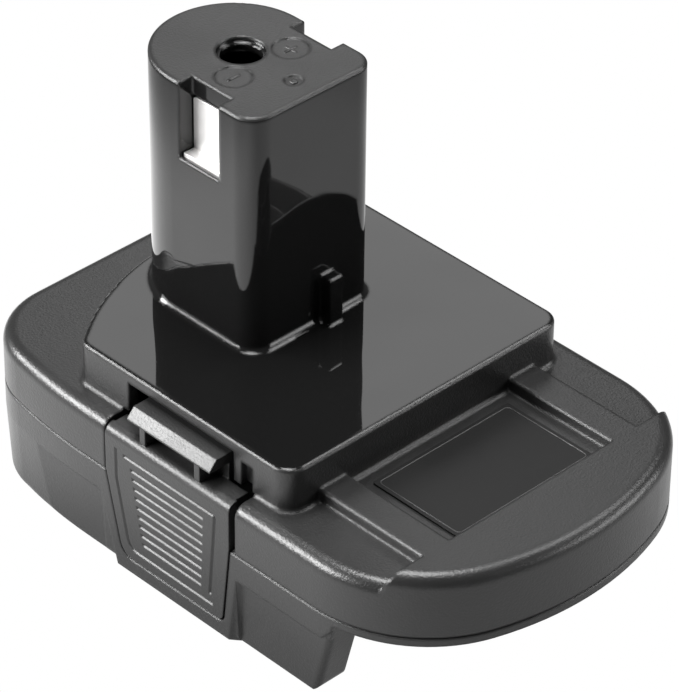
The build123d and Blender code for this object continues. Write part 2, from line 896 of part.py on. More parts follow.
def grip_grooves():
    """Level grooves across the grip, in X and Z, each as long as the tapered face allows."""
    top_z = button_top - grip_groove_drop
    span = grip_groove_pitch * (grip_groove_count - 1)
    half_groove = grip_groove_width / 2
    with BuildSketch() as grooves:
        with BuildLine():
            Polyline(
                (latch_x - button_foot_back + grip_foot_inset, top_z - span - half_groove),
                (latch_x + button_foot_front - grip_foot_inset, top_z - span - half_groove),
                (latch_x + button_front - grip_groove_inset, top_z + half_groove),
                (latch_x - button_back + grip_groove_inset, top_z + half_groove),
                close=True,
            )
        make_face()
        with Locations((latch_x, top_z - span / 2)):
            with GridLocations(0, grip_groove_pitch, 1, grip_groove_count):
                Rectangle(body_width, grip_groove_width, mode=Mode.INTERSECT)
    return grooves.sketch


with BuildPart() as release_button_right:
    with BuildSketch(Plane.XZ.offset(button_back_face)):
        add(button_outline(0))
    extrude(amount=button_thickness)
    brow_edge = release_button_right.edges().filter_by(Axis.X).group_by(Axis.Y)[0].sort_by(Axis.Z)[-1]
    fillet(brow_edge, button_rim_radius)
    # grip: bent grooves round the face and level grooves inside them
    for grooves in grip_bends() + [grip_grooves()]:
        with BuildSketch(Plane.XZ.offset(button_face)):
            add(grooves)
        extrude(amount=-grip_groove_depth, taper=grip_groove_slant, mode=Mode.SUBTRACT)
    # flange behind the housing's wall, which keeps the button in
    flange_x = (
        latch_x - button_back - button_gap - flange_reach,
        latch_x + notch_front + flange_reach,
    )
    flange_z = (parting_z + running_gap * 2, parting_z + running_gap * 2 + flange_height)
    add(block(flange_x, (-flange_face, flange_thickness - flange_face), flange_z))
    add(
        block(
            (latch_x - button_back + button_rim_radius, latch_x + button_front - button_rim_radius),
            (-button_back_face - seat_gap, flange_thickness - flange_face),
            flange_z,
        )
    )
    # ledge from the face to the stem
    add(
        block(
            (latch_x - button_back + button_gap, latch_x + button_front - button_gap),
            (-button_back_face - seat_gap, -hook_face),
            (ledge_z, button_top),
        )
    )
    # stem with the hook's bar, flat on top with a ramp for the catch
    hook_floor_z = hook_top - hook_ramp_drop - hook_lip_run
    with BuildSketch(Plane.YZ.offset(latch_x - hook_back)):
        with BuildLine():
            Polyline(
                (-hook_inner_face, ledge_z),
                (-hook_inner_face, hook_top),
                (hook_ramp_run - hook_tip, hook_top),
                (-hook_tip, hook_top - hook_ramp_drop),
                (-hook_tip, hook_floor_z),
                (-hook_face, hook_floor_z),
                (-hook_face, ledge_z),
                close=True,
            )
        make_face()
    extrude(amount=hook_back + hook_front)
    # two ribs that carry the bar
    for share in hook_rib_shares:
        rib_x = latch_x - hook_back + (hook_back + hook_front) * share
        add(
            block(
                (rib_x - hook_rib_width / 2, rib_x + hook_rib_width / 2),
                (hook_rib_setback - hook_tip, -hook_face + seat_gap),
                (button_top - seat_gap, hook_floor_z + seat_gap),
            )
        )
    # pad for the spring, with a nub inside it
    add(
        block(
            (latch_x - spring_pad_width / 2, latch_x + spring_pad_width / 2),
            (-hook_face, -hook_inner_face),
            (spring_z - spring_seat_rise, ledge_z + seat_gap),
        )
    )
    with BuildSketch(Plane.XZ.offset(hook_inner_face)):
        with Locations((latch_x, spring_z)):
            Circle(spring_nub_radius)
    extrude(amount=-spring_nub_length)
release_button_right.part.label = "release_button_right"
export_step(release_button_right.part, "parts/release_button_right.step")

with BuildPart() as release_button_left:
    mirror(release_button_right.part, about=Plane.XZ)
release_button_left.part.label = "release_button_left"
export_step(release_button_left.part, "parts/release_button_left.step")


# Return springs: one wire each, wound round a line across the housing
def biarc_joint(start, start_way, end, end_way):
    """The point where two arcs meet that leave start and reach end along the given unit directions."""
    chord = end - start
    ways = start_way + end_way
    turn = 2 * (1 - start_way.dot(end_way))
    reach = chord.dot(ways)
    step = (math.sqrt(reach**2 + turn * chord.dot(chord)) - reach) / turn
    return (start + end + (start_way - end_way) * step) * 0.5


def coil_point(turn):
    """The place and direction of the wire after a number of turns from the middle of the coil."""
    angle = math.radians(360 * turn)
    pitch = (spring_length - 2 * (spring_stub + spring_bend)) / spring_turns
    middle_y = (hook_inner_face + spring_seat_face) / 2
    place = Vector(
        latch_x + spring_radius * math.cos(angle),
        -middle_y - pitch * turn,
        spring_z + spring_radius * math.sin(angle),
    )
    way = Vector(
        -spring_radius * math.sin(angle),
        -pitch / (2 * math.pi),
        spring_radius * math.cos(angle),
    )
    return place, way.normalized()


def spring_stations():
    """Places and directions along the wire: a straight stub, the coil by quarter turns, a straight stub."""
    quarters = int(spring_turns / spring_turn_share)
    coil = [coil_point(spring_turn_share * step - spring_turns / 2) for step in range(quarters + 1)]
    axial = Vector(0, -1, 0)
    first, last = coil[0][0], coil[-1][0]
    first_way, last_way = coil[0][1], coil[-1][1]
    lead_in = Vector(
        first.X - first_way.X * spring_bend,
        -spring_seat_face - spring_stub,
        first.Z - first_way.Z * spring_bend,
    )
    lead_out = Vector(
        last.X + last_way.X * spring_bend,
        -hook_inner_face + spring_stub,
        last.Z + last_way.Z * spring_bend,
    )
    return [(lead_in, axial)] + coil + [(lead_out, axial)]


with BuildPart() as release_spring_right:
    with BuildLine() as wire:
        stations = spring_stations()
        stub = Vector(0, spring_stub, 0)
        Line(stations[0][0] + stub, stations[0][0])
        for (start, start_way), (end, end_way) in zip(stations, stations[1:]):
            joint = biarc_joint(start, start_way, end, end_way)
            first_arc = TangentArc(start, joint, tangent=start_way)
            TangentArc(joint, end, tangent=first_arc % 1)
        Line(stations[-1][0], stations[-1][0] - stub)
    with BuildSketch(Plane(origin=wire.line @ 0, z_dir=(0, -1, 0))):
        Circle(spring_wire_radius)
    sweep()
release_spring_right.part.label = "release_spring_right"
export_step(release_spring_right.part, "parts/release_spring_right.step")

with BuildPart() as release_spring_left:
    add(release_spring_right.part.rotate(Axis((latch_x, 0, 0), (0, 0, 1)), 180))
release_spring_left.part.label = "release_spring_left"
export_step(release_spring_left.part, "parts/release_spring_left.step")

spring_pitch = (spring_length - 2 * (spring_stub + spring_bend)) / spring_turns
wire_length = sum(edge.length for edge in wire.line.edges())
spring_section = math.pi * spring_wire_radius**2
print("spring volume", release_spring_right.part.volume, "section times length", spring_section * wire_length)
print("spring gap at rest", spring_pitch - 2 * spring_wire_radius)
print("spring gap when pressed", spring_pitch * (1 - button_travel / spring_length) - 2 * spring_wire_radius)


def contact_plate_right():
    """A folded contact: a foot on the window's sill, a plate in the opening and a tab down inside."""
    plate_x = (window_back_x + contact_margin, window_back_x + window_width - contact_margin)
    tab_x = (contact_tab_x - contact_tab_width / 2, contact_tab_x + contact_tab_width / 2)
    foot_z = (window_sill_z, window_sill_z + contact_thickness)
    with BuildPart() as plate:
        add(block(plate_x, (-window_face - contact_foot, -contact_back_face), foot_z))
        add(block(plate_x, (-window_face, -contact_back_face), (window_sill_z, contact_top_z)))
        add(block(tab_x, (-window_face, contact_thickness - contact_tab_face), foot_z))
        add(
            block(
                tab_x,
                (-contact_tab_face, contact_thickness - contact_tab_face),
                (contact_tab_z, foot_z[1]),
            )
        )
        upper_edges = plate.edges().filter_by(Axis.Y).group_by(Axis.Z)[-1]
        fillet(upper_edges, contact_thickness)
    return plate.part


# Contact plates, one in each window of the post
with BuildPart() as contact_plate_negative:
    add(contact_plate_right())
contact_plate_negative.part.label = "contact_plate_negative"
export_step(contact_plate_negative.part, "parts/contact_plate_negative.step")

with BuildPart() as contact_plate_positive:
    mirror(contact_plate_negative.part, about=Plane.XZ)
contact_plate_positive.part.label = "contact_plate_positive"
export_step(contact_plate_positive.part, "parts/contact_plate_positive.step")

# Carrier between the windows, with a slot for each tab and a hollow underneath
with BuildPart() as contact_carrier:
    carrier_x = (window_back_x - carrier_back, window_back_x + window_width + carrier_front)
    carrier_half = window_inner_face - carrier_gap
    crown_half = carrier_half - carrier_crown_inset
    carrier_z = window_sill_z - carrier_gap
    add(block(carrier_x, (-carrier_half, carrier_half), (carrier_z - carrier_drop, carrier_z)))
    fillet(contact_carrier.edges().filter_by(Axis.Z), carrier_edge)
    add(block(carrier_x, (-crown_half, crown_half), (carrier_z - carrier_edge, carrier_z + carrier_rise)))
    chamfer(contact_carrier.faces().sort_by(Axis.Z)[-1].edges(), carrier_edge)
    tab_half = contact_tab_width / 2 + carrier_gap
    tab_inner = contact_tab_face - contact_thickness - seat_gap
    for solid in on_both_sides(
        block(
            (contact_tab_x - tab_half, contact_tab_x + tab_half),
            (tab_inner, carrier_half + overrun),
            (carrier_z - carrier_drop - overrun, carrier_z + overrun),
        )
    ):
        add(solid, mode=Mode.SUBTRACT)
    add(
        block(
            (carrier_x[0] + carrier_wall, carrier_x[1] - carrier_wall),
            (carrier_wall - crown_half, crown_half - carrier_wall),
            (carrier_z - carrier_drop - overrun, carrier_z + carrier_rise - carrier_wall),
        ),
        mode=Mode.SUBTRACT,
    )
contact_carrier.part.label = "contact_carrier"
export_step(contact_carrier.part, "parts/contact_carrier.step")


def blade_slot(side_y, height, gap):
    """The space of one blade in the block: a bar forward and a leg up, each with a gap round it."""
    leg_x = block_screw_x - blade_leg / 2
    bar_x = (leg_x - gap, block_back_x + block_length + blade_reach + gap)
    width = (side_y - blade_thickness / 2 - gap, side_y + blade_thickness / 2 + gap)
    with BuildPart() as slot:
        add(block(bar_x, width, (blade_level - gap, blade_level + height + gap)))
        add(block((leg_x - gap, leg_x + blade_leg + gap), width, (blade_level, board_top_z + blade_tip)))
        if not gap:
            nose_edges = slot.edges().filter_by(Axis.Z).group_by(Axis.X)[-1]
            chamfer(nose_edges, blade_thickness * blade_point_share)
    return slot.part


# Blades that meet the battery's terminals
with BuildPart() as blade_negative:
    add(blade_slot(-power_blade_y, blade_height, 0))
blade_negative.part.label = "blade_negative"
export_step(blade_negative.part, "parts/blade_negative.step")

with BuildPart() as blade_positive:
    add(blade_slot(power_blade_y, blade_height, 0))
blade_positive.part.label = "blade_positive"
export_step(blade_positive.part, "parts/blade_positive.step")

with BuildPart() as sense_blades:
    for side in (-1, 1):
        add(blade_slot(side * sense_blade_y, sense_blade_height, 0))
sense_blades.part.label = "sense_blades"
export_step(sense_blades.part, "parts/sense_blades.step")

# Terminal block under the base plate, with ears for its screws and a neck up to the board
with BuildPart() as terminal_block:
    block_x = (block_back_x, block_back_x + block_length)
    block_half = block_width / 2
    add(block(block_x, (-block_half, block_half), (block_foot_z, channel_height)))
    chamfer(terminal_block.faces().sort_by(Axis.X)[-1].edges(), carrier_edge)
    ear_z = (channel_height - block_ear_height, channel_height)
    add(block(block_x, (-block_half - block_ear, block_half + block_ear), ear_z))
    with BuildSketch(Plane.XY.offset(channel_height - carrier_edge)):
        with Locations((block_screw_x, 0)):
            Rectangle(neck_length, neck_width)
    extrude(amount=base_plate + board_standoff + carrier_edge)
    with BuildSketch(Plane.XY.offset(block_foot_z)):
        add(housing_outline(tail_wall + running_gap))
    extrude(amount=board_z - block_foot_z, mode=Mode.INTERSECT)
    for side_y, height in (
        (-power_blade_y, blade_height),
        (power_blade_y, blade_height),
        (-sense_blade_y, sense_blade_height),
        (sense_blade_y, sense_blade_height),
    ):
        add(blade_slot(side_y, height, blade_slot_gap), mode=Mode.SUBTRACT)
    with BuildSketch(Plane.XY.offset(channel_height - block_height)):
        with Locations(*block_screw_places):
            Circle(small_shank_radius + screw_hole_gap)
    extrude(amount=block_height + overrun, mode=Mode.SUBTRACT)
terminal_block.part.label = "terminal_block"
export_step(terminal_block.part, "parts/terminal_block.step")

# Circuit board with two large chips, slots for the blades' legs and holes for its screws
with BuildPart() as circuit_board:
    with BuildSketch(Plane.XY.offset(board_z)):
        with Locations((board_back_x + board_length / 2, 0)):
            RectangleRounded(board_length, board_width, board_corner_radius)
        with Locations(*board_screw_places):
            Circle(small_shank_radius + screw_hole_gap, mode=Mode.SUBTRACT)
        legs = [(block_screw_x, y) for y in (-power_blade_y, -sense_blade_y, sense_blade_y, power_blade_y)]
        with Locations(*legs):
            slot_size = blade_leg + blade_slot_gap * 2
            Rectangle(slot_size, blade_thickness + blade_slot_gap * 2, mode=Mode.SUBTRACT)
    extrude(amount=board_thickness)
    with BuildSketch(Plane.XY.offset(board_top_z)):
        with Locations(*[(board_back_x + chip_setback, side * chip_spacing / 2) for side in (-1, 1)]):
            Rectangle(chip_length, chip_width)
    extrude(amount=chip_height)
    chamfer(circuit_board.faces().sort_by(Axis.Z)[-2:].edges(), chip_edge)
circuit_board.part.label = "circuit_board"
export_step(circuit_board.part, "parts/circuit_board.step")


def lead_points(side):
    """The route of one lead: down from the contact's tab, slanted inward and back, down to the board."""
    start_y = side * (contact_tab_face - contact_thickness / 2)
    end_y = side * (contact_tab_face - contact_thickness / 2 - lead_spread)
    return [
        Vector(contact_tab_x, start_y, contact_tab_z),
        Vector(contact_tab_x, start_y, contact_tab_z - lead_drop),
        Vector(contact_tab_x - lead_shift, end_y, board_top_z + lead_rise),
        Vector(contact_tab_x - lead_shift, end_y, board_top_z),
    ]


def lead_bends(points):
    """The largest bend that the runs beside each corner allow."""
    radii = []
    for before, corner, after in zip(points, points[1:], points[2:]):
        shorter = min((corner - before).length, (after - corner).length)
        turn = math.radians((corner - before).get_angle(after - corner))
        radii.append(lead_bend_share * shorter / math.tan(turn / 2))
    return radii


# Leads from the board up to the contact plates
with BuildPart() as lead_negative:
    with BuildLine() as right_route:
        FilletPolyline(*lead_points(-1), radius=lead_bends(lead_points(-1)))
    with BuildSketch(Plane(origin=right_route.line @ 0, z_dir=(0, 0, -1))):
        Circle(lead_radius)
    sweep()
lead_negative.part.label = "lead_negative"
export_step(lead_negative.part, "parts/lead_negative.step")

with BuildPart() as lead_positive:
    with BuildLine() as left_route:
        FilletPolyline(*lead_points(1), radius=lead_bends(lead_points(1)))
    with BuildSketch(Plane(origin=left_route.line @ 0, z_dir=(0, 0, -1))):
        Circle(lead_radius)
    sweep()
lead_positive.part.label = "lead_positive"
export_step(lead_positive.part, "parts/lead_positive.step")

lead_section = math.pi * lead_radius**2
print("lead bends", lead_bends(lead_points(1)))
for route, lead in ((right_route, lead_negative), (left_route, lead_positive)):
    lead_length = sum(edge.length for edge in route.line.edges())
    print("lead volume", lead.part.volume, "section times length", lead_section * lead_length)


def screw(shank, length, head, head_rise, recess, recess_rise):
    """A screw standing on its head's seat at the origin, shank up, with a six-sided recess below."""
    with BuildPart() as one:
        with BuildSketch(Plane.XZ):
            with BuildLine():
                Polyline(
                    (0, -head_rise),
                    (head * screw_dome_share, -head_rise),
                    (head, -head_rise * screw_dome_share),
                    (head, 0),
                    (shank, 0),
                    (shank, length - shank),
                    (shank * screw_point_share, length),
                    (0, length),
                    close=True,
                )
            make_face()
        revolve(axis=Axis.Z)
        with BuildSketch(Plane.XY.offset(-head_rise)):
            RegularPolygon(recess, 6)
        extrude(amount=recess_rise, mode=Mode.SUBTRACT)
    return one.part


# Screws that close the housing, and the small ones of the block and the board
with BuildPart() as housing_screws:
    with Locations(*[(x, y, screw_seat_z) for x, y in housing_screw_places]):
        add(
            screw(
                screw_shank_radius,
                screw_length,
                screw_head_radius,
                screw_head_height,
                screw_recess_radius,
                screw_recess_depth,
            )
        )
housing_screws.part.label = "housing_screws"
export_step(housing_screws.part, "parts/housing_screws.step")

with BuildPart() as terminal_block_screws:
    with Locations(*[(x, y, channel_height - block_ear_height) for x, y in block_screw_places]):
        add(
            screw(
                small_shank_radius,
                small_length,
                small_head_radius,
                small_head_height,
                small_recess_radius,
                small_recess_depth,
            )
        )
terminal_block_screws.part.label = "terminal_block_screws"
export_step(terminal_block_screws.part, "parts/terminal_block_screws.step")

with BuildPart() as board_screws:
    with Locations(*[Location((x, y, board_top_z), (180, 0, 0)) for x, y in board_screw_places]):
        add(
            screw(
                small_shank_radius,
                small_length,
                small_head_radius,
                small_head_height,
                small_recess_radius,
                small_recess_depth,
            )
        )
board_screws.part.label = "board_screws"
export_step(board_screws.part, "parts/board_screws.step")

# Plain label plate on the nose, between the rails
with BuildPart() as label_plate:
    with BuildSketch(Plane.XY.offset(wing_z)):
        with Locations((label_back_x + label_length / 2, 0)):
            RectangleRounded(label_length, label_width, label_corner_radius)
    extrude(amount=label_thickness)
label_plate.part.label = "label_plate"
export_step(label_plate.part, "parts/label_plate.step")
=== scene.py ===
"""Looks of the tool battery adapter: camera, light, moulded plastics, metal and small marks."""

import math

import bmesh
import bpy
import numpy as np
from mathutils import Matrix, Vector


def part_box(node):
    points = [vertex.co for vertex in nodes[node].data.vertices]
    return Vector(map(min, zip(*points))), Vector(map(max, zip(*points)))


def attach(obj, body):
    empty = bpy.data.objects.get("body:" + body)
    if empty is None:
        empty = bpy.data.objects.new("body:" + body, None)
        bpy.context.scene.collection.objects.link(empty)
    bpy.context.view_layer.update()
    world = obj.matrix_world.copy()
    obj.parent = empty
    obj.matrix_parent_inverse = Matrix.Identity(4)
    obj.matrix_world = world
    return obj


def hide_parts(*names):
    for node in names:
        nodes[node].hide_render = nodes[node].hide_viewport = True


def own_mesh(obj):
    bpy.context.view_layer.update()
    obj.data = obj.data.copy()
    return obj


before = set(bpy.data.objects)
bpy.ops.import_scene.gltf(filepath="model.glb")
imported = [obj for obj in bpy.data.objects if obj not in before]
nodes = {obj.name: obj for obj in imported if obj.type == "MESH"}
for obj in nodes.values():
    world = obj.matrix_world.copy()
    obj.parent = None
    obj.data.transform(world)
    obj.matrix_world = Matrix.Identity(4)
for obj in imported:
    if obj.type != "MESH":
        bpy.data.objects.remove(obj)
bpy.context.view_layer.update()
scene = bpy.context.scene
MM = 0.001
POST_TOP = 91.2

# Camera: angles and focal length as fitted to the photograph, distances in mm from the post's top

AZIMUTH, ELEVATION, ROLL = math.radians(45.68), math.radians(35.90), math.radians(0.63)
PICTURE_W, PICTURE_H = 679, 692
FOCAL_PX = 4256.8
FIT_SCALE = 0.9394
SENSOR = 36.0
AIM_RIGHT, AIM_DOWN, STAND_OFF = 20.92, 57.27, 815.9
POST_MIDDLE = (-29.8, 0.0, POST_TOP)
NEAR_CLIP, FAR_CLIP = 0.05, 20.0


def place_camera():
    """The camera that matches the photograph: azimuth, elevation and roll about the aimed point."""
    level = math.cos(ELEVATION)
    back = Vector((math.sin(AZIMUTH) * level, -math.cos(AZIMUTH) * level, math.sin(ELEVATION)))
    right = Vector((math.cos(AZIMUTH), math.sin(AZIMUTH), 0.0))
    up = back.cross(right)
    target = AIM_RIGHT * right - AIM_DOWN * up
    eye = (FIT_SCALE * (target + STAND_OFF * back) + Vector(POST_MIDDLE)) * MM
    side = right * math.cos(ROLL) + up * math.sin(ROLL)
    over = up * math.cos(ROLL) - right * math.sin(ROLL)
    turn = Matrix((side, over, back)).transposed().to_4x4()
    data = bpy.data.cameras.new("camera")
    data.sensor_width = SENSOR
    data.lens = FOCAL_PX * SENSOR / max(PICTURE_W, PICTURE_H)
    data.clip_start, data.clip_end = NEAR_CLIP, FAR_CLIP
    camera = bpy.data.objects.new("camera", data)
    camera.matrix_world = Matrix.Translation(eye) @ turn
    scene.collection.objects.link(camera)
    scene.camera = camera


place_camera()
scene.view_settings.view_transform = "Standard"

# Node helpers

MIX_SOCKETS = {"FLOAT": (2, 3, 0), "VECTOR": (4, 5, 1), "RGBA": (6, 7, 2)}


def new_node(tree, kind, **values):
    """A node of that kind, with properties and socket values set by name."""
    node = tree.nodes.new(kind)
    for key, value in values.items():
        if key.startswith("in_"):
            node.inputs[key[3:].replace("_", " ")].default_value = value
        else:
            setattr(node, key, value)
    return node


def feed(tree, socket, value):
    """A link from another socket, or a plain number or colour."""
    if isinstance(value, bpy.types.NodeSocket):
        tree.links.new(value, socket)
    else:
        socket.default_value = value


def maths(tree, operation, first, second=0.0, clamp=False):
    """A Math node fed by sockets or numbers."""
    node = new_node(tree, "ShaderNodeMath", operation=operation, use_clamp=clamp)
    feed(tree, node.inputs[0], first)
    feed(tree, node.inputs[1], second)
    return node.outputs[0]


def spread(tree, value, low, high, to_low=0.0, to_high=1.0):
    """A value between two limits, carried smoothly over to two others."""
    node = new_node(tree, "ShaderNodeMapRange", interpolation_type="SMOOTHSTEP")
    feed(tree, node.inputs["Value"], value)
    limits = {"From Min": low, "From Max": high, "To Min": to_low, "To Max": to_high}
    for name, number in limits.items():
        node.inputs[name].default_value = number
    return node.outputs[0]


def blend(tree, kind, factor, low, high):
    """The first value where the factor is 0, and the second where it is 1.

    The kind is FLOAT for numbers, VECTOR for normals and RGBA for colours, as on the Mix node."""
    node = new_node(tree, "ShaderNodeMix", data_type=kind)
    first, second, out = MIX_SOCKETS[kind]
    feed(tree, node.inputs[0], factor)
    feed(tree, node.inputs[first], low)
    feed(tree, node.inputs[second], high)
    return node.outputs[out]


def solid_colour(value):
    """A grey from one number, or a colour from three, as a socket takes it."""
    return (value, value, value, 1.0) if isinstance(value, float) else (*value, 1.0)


def tone(tree, factor, dark, light):
    """A colour between two greys, or two colours, by a factor."""
    return blend(tree, "RGBA", factor, solid_colour(dark), solid_colour(light))


def noise(tree, place, scale, detail, roughness=0.5):
    """A noise over a place, with its scale in waves per unit of the place."""
    node = new_node(tree, "ShaderNodeTexNoise", in_Detail=detail, in_Roughness=roughness)
    feed(tree, node.inputs["Vector"], place)
    feed(tree, node.inputs["Scale"], scale)
    return node.outputs["Fac"]


def soft_edge(tree, radius, samples):
    """A normal that rounds the edges off by a radius in metres."""
    return new_node(tree, "ShaderNodeBevel", samples=samples, in_Radius=radius).outputs[0]


def bump(tree, height, strength, distance, normal=None):
    """A Bump node over a height, on top of another normal if one is given."""
    node = new_node(tree, "ShaderNodeBump", in_Strength=strength, in_Distance=distance)
    feed(tree, node.inputs["Height"], height)
    if normal is not None:
        feed(tree, node.inputs["Normal"], normal)
    return node.outputs[0]


def start_group(name, inputs, outputs):
    """An empty node group with float inputs, given with their values, and float outputs."""
    tree = bpy.data.node_groups.new(name, "ShaderNodeTree")
    for title, value in inputs:
        socket = tree.interface.new_socket(title, in_out="INPUT", socket_type="NodeSocketFloat")
        socket.default_value = value
    for title in outputs:
        tree.interface.new_socket(title, in_out="OUTPUT", socket_type="NodeSocketFloat")
    return tree, tree.nodes.new("NodeGroupInput"), tree.nodes.new("NodeGroupOutput")


def use_group(tree, group, **values):
    """A group node with its inputs set by name."""
    node = tree.nodes.new("ShaderNodeGroup")
    node.node_tree = group
    for key, value in values.items():
        node.inputs[key].default_value = value
    return node


def object_place(tree):
    """Object coordinates, in metres."""
    return tree.nodes.new("ShaderNodeTexCoord").outputs["Object"]


def split_axes(tree, place):
    """The three numbers of a place, as outputs named X, Y and Z."""
    axes = tree.nodes.new("ShaderNodeSeparateXYZ")
    feed(tree, axes.inputs[0], place)
    return axes.outputs


def new_material(name):
    """A material with its principled shader, ready for more nodes."""
    material = bpy.data.materials.new(name)
    material.use_nodes = True
    tree = material.node_tree
    return material, tree, tree.nodes["Principled BSDF"]


def finish_surface(tree, shader, colour, rough, normal):
    """The varying colour, roughness and normal, linked to the shader."""
    feed(tree, shader.inputs["Base Color"], colour)
    feed(tree, shader.inputs["Roughness"], rough)
    feed(tree, shader.inputs["Normal"], normal)


# Shared effects

PIT_SIZE, PIT_DEPTH = 0.8, 0.45
MOTTLE_WAVES, FLOW_WAVES, SPECK_WAVES = 55.0, 42.0, 1500.0
SPECK_LEVELS = (0.70, 0.78)
NOISE_MIDDLE = (0.3, 0.7)


def grain_group():
    """Spark-eroded grain of a mould: fine pits from two noises, and a mottle for gloss and tone."""
    given_values = [("Strength", 0.5), ("Size", 0.0004)]
    tree, given, result = start_group("mould_grain", given_values, ["Height", "Mottle"])
    place = object_place(tree)
    waves = maths(tree, "DIVIDE", 1.0, given.outputs["Size"])
    fine = noise(tree, place, waves, detail=2.0, roughness=0.6)
    pits = new_node(tree, "ShaderNodeTexVoronoi", feature="F1")
    feed(tree, pits.inputs["Vector"], place)
    feed(tree, pits.inputs["Scale"], maths(tree, "MULTIPLY", waves, PIT_SIZE))
    pitted = maths(tree, "MULTIPLY", pits.outputs["Distance"], PIT_DEPTH)
    height = maths(tree, "ADD", fine, pitted)
    feed(tree, result.inputs["Height"], maths(tree, "MULTIPLY", height, given.outputs["Strength"]))
    feed(tree, result.inputs["Mottle"], noise(tree, place, MOTTLE_WAVES, detail=3.0))
    return tree


def flow_group():
    """Slight sink and flow of a glossy moulding: long waves that bend reflections, and specks."""
    tree, given, result = start_group("mould_flow", [("Strength", 1.0)], ["Height", "Dust"])
    place = object_place(tree)
    waves = noise(tree, place, FLOW_WAVES, detail=1.0)
    feed(tree, result.inputs["Height"], maths(tree, "MULTIPLY", waves, given.outputs["Strength"]))
    specks = noise(tree, place, SPECK_WAVES, detail=0.0)
    feed(tree, result.inputs["Dust"], spread(tree, specks, *SPECK_LEVELS))
    return tree


GRAIN = grain_group()
FLOW = flow_group()

# Plastics and metals: levels in mm above the foot, greys as linear shares of white

# The parting groove: its level, widths, roughness and the strength of its painted shade.
SEAM_LEVEL, SEAM_CORE, SEAM_EDGE = 20.8, 0.17, 0.24
SEAM_ROUGH, SEAM_PAINTED_SHADE = 0.9, 4.0
POLISH_START, POLISH_END = (40.50, 40.66), (90.55, 90.65)
SATIN_DARK, SATIN_LIGHT = 0.011, 0.014
GLOSS_DARK, GLOSS_LIGHT = 0.005, 0.006
SATIN_GRAIN = {"Strength": 1.0, "Size": 0.00042}
SATIN_BAND = (0.35, 0.65)
SATIN_ROUGH_SPAN = 0.06
GLOSS_ROUGH = (0.03, 0.06)
PLAIN_ROUGH_SPAN = 0.04
PLASTIC_IOR = 1.5
WIDE_EDGE, BUTTON_EDGE, SMALL_EDGE, METAL_EDGE = 0.0010, 0.0004, 0.0002, 0.00015
DRAWN_LINES, CLOUD_WAVES = (900.0, 40.0, 900.0), 180.0


def band(tree, height, limits, to_low=0.0, to_high=1.0):
    """A change between two levels in mm."""
    return spread(tree, height, limits[0] * MM, limits[1] * MM, to_low, to_high)


def housing_material(name, glossy_parts, seam_shade_and_dullness=1.0, edge_radius=WIDE_EDGE, rough_low=0.30):
    """Satin grained plastic, dull in the parting groove, where its tone is also darkened as painted
    shade.

    The post and the deck's top are polished where glossy_parts asks for it."""
    material, tree, shader = new_material(name)
    shader.inputs["IOR"].default_value = PLASTIC_IOR
    grain = use_group(tree, GRAIN, **SATIN_GRAIN)
    mottle = grain.outputs["Mottle"]
    edge = soft_edge(tree, edge_radius, samples=6)
    height = split_axes(tree, object_place(tree))["Z"]
    off_seam = maths(tree, "ABSOLUTE", maths(tree, "SUBTRACT", height, SEAM_LEVEL * MM))
    # Painted shade in the parting groove: the tone there is darkened, and the groove is also made
    # rough.
    seam_shade_and_dull_mask = band(tree, off_seam, (SEAM_CORE, SEAM_EDGE), seam_shade_and_dullness, 0.0)
    open_rough = spread(tree, mottle, *SATIN_BAND, rough_low, rough_low + SATIN_ROUGH_SPAN)
    painted_seam_shade = maths(tree, "MULTIPLY", seam_shade_and_dull_mask, SEAM_PAINTED_SHADE)
    shade = maths(tree, "SUBTRACT", mottle, painted_seam_shade, clamp=True)
    colour = tone(tree, shade, SATIN_DARK, SATIN_LIGHT)
    rough = blend(tree, "FLOAT", seam_shade_and_dull_mask, open_rough, SEAM_ROUGH)
    normal = bump(tree, grain.outputs["Height"], strength=0.4, distance=0.00012, normal=edge)
    if glossy_parts:
        above_deck_edge = band(tree, height, POLISH_START)
        below_post_top = band(tree, height, POLISH_END, 1.0, 0.0)
        polished = maths(tree, "MULTIPLY", above_deck_edge, below_post_top)
        flow = use_group(tree, FLOW, Strength=1.0)
        dust = flow.outputs["Dust"]
        gloss_colour = tone(tree, dust, GLOSS_DARK, GLOSS_LIGHT)
        gloss_rough = blend(tree, "FLOAT", dust, *GLOSS_ROUGH)
        waves = flow.outputs["Height"]
        gloss_normal = bump(tree, waves, strength=0.35, distance=0.0008, normal=edge)
        colour = blend(tree, "RGBA", polished, colour, gloss_colour)
        rough = blend(tree, "FLOAT", polished, rough, gloss_rough)
        normal = blend(tree, "VECTOR", polished, normal, gloss_normal)
    finish_surface(tree, shader, colour, rough, normal)
    return material


def metal_material(name, dark, light, rough, metal=1.0):
    """Plated or drawn metal: fine lines along Y, and a soft mottle in its tone."""
    material, tree, shader = new_material(name)
    shader.inputs["Metallic"].default_value = metal
    place = object_place(tree)
    stretch = new_node(tree, "ShaderNodeMapping", in_Scale=DRAWN_LINES)
    feed(tree, stretch.inputs["Vector"], place)
    lines = noise(tree, stretch.outputs[0], 1.0, detail=3.0)
    clouds = noise(tree, place, CLOUD_WAVES, detail=2.0)
    edge = soft_edge(tree, METAL_EDGE, samples=4)
    colour = tone(tree, clouds, dark, light)
    rough_map = spread(tree, lines, *NOISE_MIDDLE, *rough)
    normal = bump(tree, lines, strength=0.12, distance=0.00005, normal=edge)
    finish_surface(tree, shader, colour, rough_map, normal)
    return material


